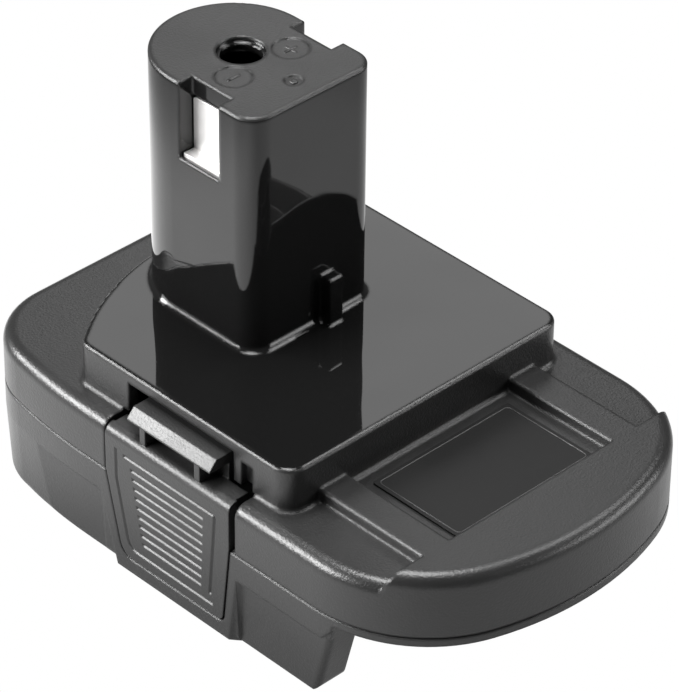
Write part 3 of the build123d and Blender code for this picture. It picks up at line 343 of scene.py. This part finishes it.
def plain_plastic(name, dark, light, rough, grain_strength=0.15, grain_size=0.0005, shine=0.5):
    """Moulded plastic or insulation with a faint grain and a slight mottle."""
    material, tree, shader = new_material(name)
    shader.inputs["Specular IOR Level"].default_value = shine
    grain = use_group(tree, GRAIN, Strength=1.0, Size=grain_size)
    mottle = grain.outputs["Mottle"]
    edge = soft_edge(tree, SMALL_EDGE, samples=4)
    colour = tone(tree, mottle, dark, light)
    low, high = rough - PLAIN_ROUGH_SPAN, rough + PLAIN_ROUGH_SPAN
    rough_map = spread(tree, mottle, *NOISE_MIDDLE, low, high)
    normal = bump(tree, grain.outputs["Height"], grain_strength, distance=0.0001, normal=edge)
    finish_surface(tree, shader, colour, rough_map, normal)
    return material


TRACK_WAVES, TRACK_WIDTH = 420.0, (0.06, 0.10)
LAMINATE_GREEN, TRACK_GREEN = (0.010, 0.075, 0.028), (0.035, 0.16, 0.06)
LAMINATE_ROUGH, CHIP_ROUGH = 0.32, 0.55
CHIP_LEVELS, CHIP_GREY = (21.25, 21.32), 0.012


def board_material(name):
    """Green laminate whose copper tracks show as a lighter pattern, and dark chips on top."""
    material, tree, shader = new_material(name)
    place = object_place(tree)
    flat = new_node(tree, "ShaderNodeMapping", in_Scale=(TRACK_WAVES, TRACK_WAVES, 0.0))
    feed(tree, flat.inputs["Vector"], place)
    cells = new_node(tree, "ShaderNodeTexVoronoi", feature="DISTANCE_TO_EDGE", in_Scale=1.0)
    feed(tree, cells.inputs["Vector"], flat.outputs[0])
    tracks = spread(tree, cells.outputs["Distance"], *TRACK_WIDTH, 1.0, 0.0)
    laminate = tone(tree, tracks, LAMINATE_GREEN, TRACK_GREEN)
    chips = band(tree, split_axes(tree, place)["Z"], CHIP_LEVELS)
    colour = blend(tree, "RGBA", chips, laminate, solid_colour(CHIP_GREY))
    rough = blend(tree, "FLOAT", chips, LAMINATE_ROUGH, CHIP_ROUGH)
    finish_surface(tree, shader, colour, rough, bump(tree, tracks, strength=0.4, distance=0.00004))
    return material


INSULATION_BLACK, CARRIER_BLACK = (0.012, 0.018), (0.012, 0.018)
INSULATION_RED = ((0.32, 0.012, 0.010), (0.42, 0.02, 0.015))
NICKEL = ((0.90, 0.89, 0.88), (0.95, 0.94, 0.93))
SPRING_STEEL = ((0.50, 0.50, 0.51), (0.62, 0.62, 0.63))
ZINC = ((0.42, 0.42, 0.43), (0.55, 0.55, 0.56))
# The label's raised border line is a lighter grey than the label, as a painted highlight along its
# edge.
LABEL_BLACK, MARK_BLACK, FRAME_PAINTED_HIGHLIGHT_GREY = (0.006, 0.008), (0.008, 0.010), (0.03, 0.04)

MATERIALS = {
    "upper_housing": housing_material("housing_upper_plastic", True),
    "lower_housing": housing_material("housing_lower_plastic", False),
    "buttons": housing_material(
        "button_grained_plastic", False, seam_shade_and_dullness=0.0, edge_radius=BUTTON_EDGE, rough_low=0.37
    ),
    "contact": metal_material("contact_nickel", *NICKEL, rough=(0.30, 0.38), metal=0.65),
    "spring": metal_material("spring_wire", *SPRING_STEEL, rough=(0.20, 0.35)),
    "screw": metal_material("screw_zinc", *ZINC, rough=(0.28, 0.42)),
    "carrier": plain_plastic("carrier_satin_black", *CARRIER_BLACK, rough=0.42),
    "label": plain_plastic(
        "label_satin_black",
        *LABEL_BLACK,
        rough=0.46,
        grain_strength=0.10,
        grain_size=0.0003,
        shine=0.2,
    ),
    "board": board_material("board_laminate"),
    "lead_negative": plain_plastic("lead_black_insulation", *INSULATION_BLACK, rough=0.38),
    "lead_positive": plain_plastic("lead_red_insulation", *INSULATION_RED, rough=0.38),
    "mark": plain_plastic("mark_gloss_black", *MARK_BLACK, rough=0.22, grain_strength=0.05),
    "frame": plain_plastic("label_border_painted_highlight", *FRAME_PAINTED_HIGHLIGHT_GREY, rough=0.32, grain_strength=0.05),
}
FINISHES = {
    "upper_housing": "upper_housing",
    "lower_housing": "lower_housing",
    "release_button_left": "buttons",
    "release_button_right": "buttons",
    "release_spring_left": "spring",
    "release_spring_right": "spring",
    "contact_carrier": "carrier",
    "contact_plate_negative": "contact",
    "contact_plate_positive": "contact",
    "terminal_block": "carrier",
    "blade_negative": "contact",
    "blade_positive": "contact",
    "sense_blades": "contact",
    "terminal_block_screws": "screw",
    "circuit_board": "board",
    "board_screws": "screw",
    "lead_negative": "lead_negative",
    "lead_positive": "lead_positive",
    "housing_screws": "screw",
    "label_plate": "label",
}
for node_name, finish in FINISHES.items():
    mesh = nodes[node_name].data
    if not mesh.materials:
        mesh.materials.append(None)
    for index in range(len(mesh.materials)):
        mesh.materials[index] = MATERIALS[finish]

# Fine pieces: lengths in mm

MERGE_DISTANCE = 1e-7
MARK_FOOT = 0.05
MARK_SIDES, MARK_RINGS = 48, 9
CORNER_STEPS, LINE_STEPS = 7, 9


def add_mesh(name, rows, material):
    """A closed surface from a grid of points.

    Each row is a ring, and the rings join into a tube or a cap."""
    count, ring = rows.shape[:2]
    here = np.arange(count * ring).reshape(count, ring)
    beside = np.roll(here, -1, axis=1)
    faces = np.stack((here[:-1], beside[:-1], beside[1:], here[1:]), axis=-1)
    mesh = bpy.data.meshes.new(name)
    mesh.from_pydata(rows.reshape(-1, 3).tolist(), [], faces.reshape(-1, 4).tolist())
    shell = bmesh.new()
    shell.from_mesh(mesh)
    bmesh.ops.remove_doubles(shell, verts=shell.verts, dist=MERGE_DISTANCE)
    bmesh.ops.recalc_face_normals(shell, faces=shell.faces)
    shell.to_mesh(mesh)
    shell.free()
    mesh.polygons.foreach_set("use_smooth", [True] * len(mesh.polygons))
    mesh.materials.append(material)
    piece = bpy.data.objects.new(name, mesh)
    scene.collection.objects.link(piece)
    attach(piece, "housing")
    return piece


def signed_root(value):
    """The square root of a number's size, with the number's sign."""
    return np.sign(value) * np.sqrt(np.abs(value))


def raised_mark(name, centre, length, width, height, material, slot_name):
    """A raised mark with a squared-oval plan.

    The plan is a superellipse of power 4. The height falls off as the square root of one less the
    fourth power of the distance from the mark's middle, as a share of the plan's radius."""
    angle = np.linspace(0, 2 * np.pi, MARK_SIDES, endpoint=False)
    plan_x = signed_root(np.cos(angle)) * length / 2
    plan_y = signed_root(np.sin(angle)) * width / 2
    share = np.sin(np.linspace(0, np.pi / 2, MARK_RINGS))
    share = np.concatenate((share, [1.0, 0.0]))
    rise = np.sqrt(np.clip(1 - share**4, 0, 1)) * height
    rise[-2:] = -MARK_FOOT
    rows = np.empty((len(share), len(angle), 3))
    rows[:, :, 0] = centre[0] + share[:, None] * plan_x
    rows[:, :, 1] = centre[1] + share[:, None] * plan_y
    rows[:, :, 2] = centre[2] + rise[:, None]
    return add_mesh(name, rows * MM, material)


def raised_frame(name, centre, length, width, corner, thickness, height, material):
    """A raised line along a rounded rectangle.

    Its section is a half ellipse above the surface, closed a little below it."""
    turn = np.linspace(0, np.pi / 2, CORNER_STEPS)
    path, normal = [], []
    for quarter, (side_x, side_y) in enumerate(((1, 1), (-1, 1), (-1, -1), (1, -1))):
        angle = turn + quarter * np.pi / 2
        way = np.stack((np.cos(angle), np.sin(angle)), 1)
        middle = np.array((side_x * (length / 2 - corner), side_y * (width / 2 - corner)))
        path.append(middle + corner * way)
        normal.append(way)
    path, normal = np.concatenate(path), np.concatenate(normal)
    section = np.linspace(0, np.pi, LINE_STEPS)
    out = np.concatenate((np.cos(section), [-1.0, 1.0])) * thickness / 2
    rise = np.concatenate((np.sin(section) * height, [-MARK_FOOT, -MARK_FOOT]))
    rows = np.empty((len(path), len(out), 3))
    rows[:, :, :2] = path[:, None, :] + normal[:, None, :] * out[None, :, None]
    rows[:, :, 0] += centre[0]
    rows[:, :, 1] += centre[1]
    rows[:, :, 2] = centre[2] + rise[None, :]
    rows = np.concatenate((rows, rows[:1]))
    return add_mesh(name, rows * MM, material)


WIRE_RADIUS, COIL_TURNS = 0.3, 7.0
COIL_STEPS, WIRE_SIDES = 336, 12
END_SHARE, END_BLEND, END_GAP = 0.66, 0.2, 1.05


def coil_spring(name, node):
    """A compression spring in the place of its CAD node.

    Its wire follows a helix round a line along Y. The rise per turn goes smoothly from the wire's
    own thickness in the closed ends to the open pitch in the middle. The wire's section is a
    circle across the helix."""
    low, high = (np.array(p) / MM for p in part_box(node))
    middle, length = (low + high) / 2, high[1] - low[1]
    radius = (high[0] - low[0]) / 2 - WIRE_RADIUS
    share = np.linspace(-1, 1, COIL_STEPS + 1)
    ease = np.clip((np.abs(share) - END_SHARE) / END_BLEND, 0, 1)
    open_share = 1 - ease * ease * (3 - 2 * ease)
    turn_step = COIL_TURNS / COIL_STEPS
    closed_pitch = 2 * WIRE_RADIUS * END_GAP
    spare = length - 2 * WIRE_RADIUS - closed_pitch * COIL_TURNS
    open_pitch = closed_pitch + spare / (open_share[1:].sum() * turn_step)
    pitch = closed_pitch + (open_pitch - closed_pitch) * open_share
    rise = np.concatenate(([0.0], np.cumsum(pitch[1:] * turn_step)))
    angle = np.pi * COIL_TURNS * share
    radial = np.stack((np.cos(angle), np.zeros_like(angle), np.sin(angle)), 1)
    path = middle + radius * radial
    path[:, 1] = low[1] + WIRE_RADIUS + rise
    along = np.gradient(path, axis=0)
    along /= np.linalg.norm(along, axis=1)[:, None]
    side = np.cross(along, radial)
    section = np.linspace(0, 2 * np.pi, WIRE_SIDES, endpoint=False)[None, :, None]
    ring = np.cos(section) * radial[:, None, :] + np.sin(section) * side[:, None, :]
    rows = path[:, None, :] + WIRE_RADIUS * ring
    ends = [np.repeat(path[i][None, None, :], WIRE_SIDES, axis=1) for i in (0, -1)]
    rows = np.concatenate((ends[0], rows, ends[1]))
    spring = add_mesh(name, rows * MM, MATERIALS["spring"])
    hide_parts(node)
    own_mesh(spring)


coil_spring("release_coil_right", "release_spring_right")
coil_spring("release_coil_left", "release_spring_left")

MARK_X, MARK_Y, MARK_FLOOR = -22.23, 7.0, POST_TOP - 0.25
BAR_LENGTH, BAR_WIDTH, BAR_RISE, CROSS_RISE = 3.2, 0.6, 0.22, 0.21
GATE_X, GATE_FLOOR, PIP_SIZE, PIP_RISE = -14.03, POST_TOP - 0.4, 1.3, 0.32
for mark_name, centre, *sizes in (
    ("minus_mark", (MARK_X, -MARK_Y, MARK_FLOOR), BAR_WIDTH, BAR_LENGTH, BAR_RISE),
    ("plus_mark_long", (MARK_X, MARK_Y, MARK_FLOOR), BAR_WIDTH, BAR_LENGTH, BAR_RISE),
    ("plus_mark_cross", (MARK_X, MARK_Y, MARK_FLOOR), BAR_LENGTH, BAR_WIDTH, CROSS_RISE),
    ("gate_pip", (GATE_X, 0.0, GATE_FLOOR), PIP_SIZE, PIP_SIZE, PIP_RISE),
):
    raised_mark(mark_name, centre, *sizes, MATERIALS["mark"], "housing_plastic")

# A raised border line round the label, coloured lighter as a painted highlight.
FRAME_MARGIN, FRAME_CORNER, FRAME_LINE, FRAME_RISE = 0.8, 0.9, 0.22, 0.08
label_low, label_high = (np.array(p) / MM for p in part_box("label_plate"))
label_middle = (label_low + label_high) / 2
raised_frame(
    "label_frame_line",
    (label_middle[0], label_middle[1], label_high[2]),
    label_high[0] - label_low[0] - 2 * FRAME_MARGIN,
    label_high[1] - label_low[1] - 2 * FRAME_MARGIN,
    FRAME_CORNER,
    FRAME_LINE,
    FRAME_RISE,
    MATERIALS["frame"],
)

# Floor and light: metres and watts, glow as a share of white; the floor's glow in reflections is
# painted light with a painted shadow round the foot

WHITE = (1.0, 1.0, 1.0, 1.0)
FLOOR_HALF, FLOOR_DROP, FLOOR_GREY = 6.0, 0.0002, 0.8
# The floor's glow in reflections is painted light: a brighter pool at the left front and a painted
# shadow round the object's foot.
PAINTED_POOL_GLOW, FAR_GLOW, GLOW_REACH = 1.75, 0.90, (-0.05, 0.10)
DIAGONAL = 0.7071
DIM_REACH, DIM_SHARE = (0.125, 0.20), 0.15
FOOT_HALF_LENGTH, FOOT_HALF_WIDTH = 0.075, 0.052
FOOT_SHADOW_REACH, FOOT_SHADOW_SHARE = (0.85, 1.25), 0.5
WORLD_LIGHT = 0.14
LAMP_AIM = (0.0, 0.0, 0.03)
LAMPS = (
    ("left_strip", (-0.58, -0.70, 0.41), (0.8, 0.2), 25.0),
    ("back_panel", (-0.64, 0.62, 0.645), (0.36, 0.30), 0.66),
    ("right_panel", (0.70, 0.70, 0.25), (0.6, 0.3), 5.0),
    ("right_top_panel", (0.12, 0.54, 0.80), (0.30, 0.30), 3.0),
    ("top_panel", (-0.12, 0.0, 1.0), (0.42, 0.42), 13.0),
)


def plan_distance(tree, across, along, half_length, half_width):
    """Distance from the middle of the floor, as a share of an ellipse's half axes."""
    shares = [maths(tree, "DIVIDE", across, half_length), maths(tree, "DIVIDE", along, half_width)]
    squares = [maths(tree, "MULTIPLY", share, share) for share in shares]
    return maths(tree, "SQRT", maths(tree, "ADD", *squares))


def ray_choice(tree, ray_kind, others, chosen):
    """One shader for the rays of a kind, and another for all the others."""
    rays = tree.nodes.new("ShaderNodeLightPath")
    choice = tree.nodes.new("ShaderNodeMixShader")
    feed(tree, choice.inputs[0], rays.outputs[ray_kind])
    feed(tree, choice.inputs[1], others.outputs[0])
    feed(tree, choice.inputs[2], chosen.outputs[0])
    return choice


def painted_floor_light(tree):
    """How bright the floor glows in reflections, as painted light.

    It is brightest at the left front, a painted pool of light, falls off far from the object, and
    has a soft darker patch round the object's foot, a painted shadow."""
    axes = split_axes(tree, object_place(tree))
    across, along = axes["X"], axes["Y"]
    to_left_front = maths(tree, "MULTIPLY", maths(tree, "ADD", across, along), -DIAGONAL)
    painted_light_pool = spread(tree, to_left_front, *GLOW_REACH, FAR_GLOW, PAINTED_POOL_GLOW)
    distance = plan_distance(tree, across, along, 1.0, 1.0)
    far_off = spread(tree, distance, *DIM_REACH, 1.0, DIM_SHARE)
    foot_distance = plan_distance(tree, across, along, FOOT_HALF_LENGTH, FOOT_HALF_WIDTH)
    painted_foot_shadow = spread(tree, foot_distance, *FOOT_SHADOW_REACH, FOOT_SHADOW_SHARE, 1.0)
    return maths(tree, "MULTIPLY", maths(tree, "MULTIPLY", painted_light_pool, far_off), painted_foot_shadow)


def make_stage():
    """A floor that is pure white to the camera, takes the object's shadow and shows in gloss with a
    painted pool of light and a painted shadow.
    """
    signs = ((-1, -1), (1, -1), (1, 1), (-1, 1))
    corners = [(side_x * FLOOR_HALF, side_y * FLOOR_HALF, 0) for side_x, side_y in signs]
    mesh = bpy.data.meshes.new("floor")
    mesh.from_pydata(corners, [], [(0, 1, 2, 3)])
    floor = bpy.data.objects.new("floor", mesh)
    floor.location.z = -FLOOR_DROP
    scene.collection.objects.link(floor)
    material = bpy.data.materials.new("floor_white")
    material.use_nodes = True
    tree = material.node_tree
    tree.nodes.clear()
    out = tree.nodes.new("ShaderNodeOutputMaterial")
    seen = new_node(tree, "ShaderNodeEmission", in_Color=WHITE, in_Strength=1.0)
    plain = new_node(tree, "ShaderNodeBsdfDiffuse", in_Color=solid_colour(FLOOR_GREY))
    # Reflections see the floor glow with its painted pool of light and painted shadow.
    mirrored = new_node(tree, "ShaderNodeEmission", in_Color=WHITE)
    feed(tree, mirrored.inputs["Strength"], painted_floor_light(tree))
    reflecting = ray_choice(tree, "Is Glossy Ray", plain, mirrored)
    choice = ray_choice(tree, "Is Camera Ray", reflecting, seen)
    feed(tree, out.inputs[0], choice.outputs[0])
    mesh.materials.append(material)


def make_world(strength):
    """Soft white surroundings, seen as pure white by the camera."""
    world = bpy.data.worlds.new("studio")
    world.use_nodes = True
    tree = world.node_tree
    tree.nodes.clear()
    out = tree.nodes.new("ShaderNodeOutputWorld")
    light = new_node(tree, "ShaderNodeBackground", in_Color=WHITE, in_Strength=strength)
    seen = new_node(tree, "ShaderNodeBackground", in_Color=WHITE, in_Strength=1.0)
    feed(tree, out.inputs[0], ray_choice(tree, "Is Camera Ray", light, seen).outputs[0])
    scene.world = world


def softbox(name, place, size, power):
    """A flat rectangular light at a place, facing the object."""
    data = bpy.data.lights.new(name, "AREA")
    data.shape = "RECTANGLE"
    data.size, data.size_y = size
    data.energy = power
    lamp = bpy.data.objects.new(name, data)
    turn = (Vector(LAMP_AIM) - Vector(place)).to_track_quat("-Z", "Y").to_matrix().to_4x4()
    lamp.matrix_world = Matrix.Translation(place) @ turn
    scene.collection.objects.link(lamp)


make_stage()
make_world(WORLD_LIGHT)
for lamp in LAMPS:
    softbox(*lamp)
